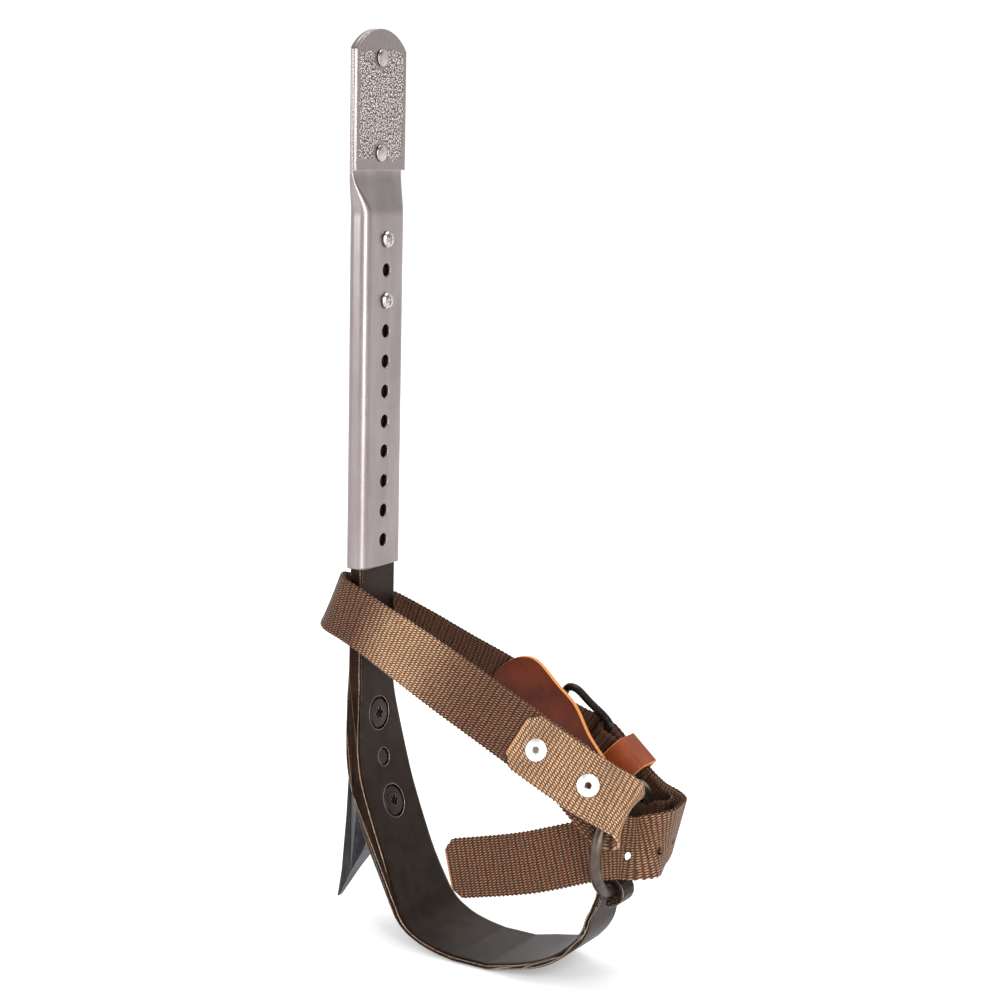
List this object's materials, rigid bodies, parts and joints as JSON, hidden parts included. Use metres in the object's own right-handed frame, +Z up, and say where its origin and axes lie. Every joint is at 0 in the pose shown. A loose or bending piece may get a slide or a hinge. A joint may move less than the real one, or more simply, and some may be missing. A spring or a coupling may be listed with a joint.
{
  "type": "tree climbing spur",
  "caption": "Left-foot tree climbing spur: forged shank and stirrup with bolted gaff, height-adjusting sleeve, strap ring, and webbing foot strap with buckle and leather pad.",
  "frame": {"origin": "middle of the stirrup's instep seat, on its upper face", "axes": "+Z up along the shank, +X from the shank towards the ring side of the stirrup, +Y along the boot"},
  "size_m": [0.1671, 0.0614, 0.3831],
  "materials": {
    "forged_steel": "black oxide over forged steel, worn bright along its edges",
    "dark_steel": "dark satin",
    "aluminium": "satin anodised",
    "nickel": "bright nickel plate",
    "ring_steel": "worn satin",
    "webbing": "woven brown webbing with a rust-coloured thread",
    "leather": "oiled leather with a raw tan edge"
  },
  "bodies": {
    "shank": {"shank_stirrup": "forged_steel", "gaff": "dark_steel", "gaff_screw_upper": "dark_steel", "gaff_screw_lower": "dark_steel", "gaff_locating_pin": "dark_steel", "height_screw_upper": "nickel", "height_screw_lower": "nickel", "height_screw_stem_upper": "nickel", "height_screw_stem_lower": "nickel"},
    "sleeve": {"sleeve": "aluminium", "size_plate": "aluminium", "plate_rivet_lower": "nickel", "plate_rivet_upper": "nickel"},
    "foot_strap": {"strap_ring": "ring_steel", "foot_strap_near_run": "webbing", "foot_strap_ring_fold": "webbing", "foot_strap_shank_wrap": "webbing", "foot_strap_far_run": "webbing", "foot_strap_free_end": "webbing", "buckle_strap": "webbing", "fold_eyelet_left": "nickel", "fold_eyelet_right": "nickel", "leather_pad": "leather", "buckle_frame": "dark_steel"},
    "keeper": {"strap_keeper": "leather"},
    "buckle_roller": {"buckle_roller": "dark_steel"},
    "buckle_tongue": {"buckle_tongue": "dark_steel"}
  },
  "joints": [
    {"name": "sleeve_height", "type": "slide", "parent": "shank", "child": "sleeve", "axis": [0, 0, 1], "range_m": [0, 0.1016]},
    {"name": "ring_swing", "type": "hinge", "parent": "shank", "child": "foot_strap", "pos_m": [0.0544, 0, 0.0364], "axis": [0, 1, 0], "range_deg": [-10, 0]},
    {"name": "keeper_slide", "type": "slide", "parent": "foot_strap", "child": "keeper", "axis": [0.75, 0, -0.6614], "range_m": [-0.001, 0.001]},
    {"name": "roller_spin", "type": "hinge", "parent": "foot_strap", "child": "buckle_roller", "pos_m": [0.00825, 0.0235, 0.09793], "axis": [0.5446, 0, 0.8387], "continuous": true},
    {"name": "tongue_swing", "type": "hinge", "parent": "foot_strap", "child": "buckle_tongue", "pos_m": [0.02836, 0.0245, 0.08487], "axis": [-0.5446, 0, -0.8387], "range_deg": [0, 90]}
  ]
}
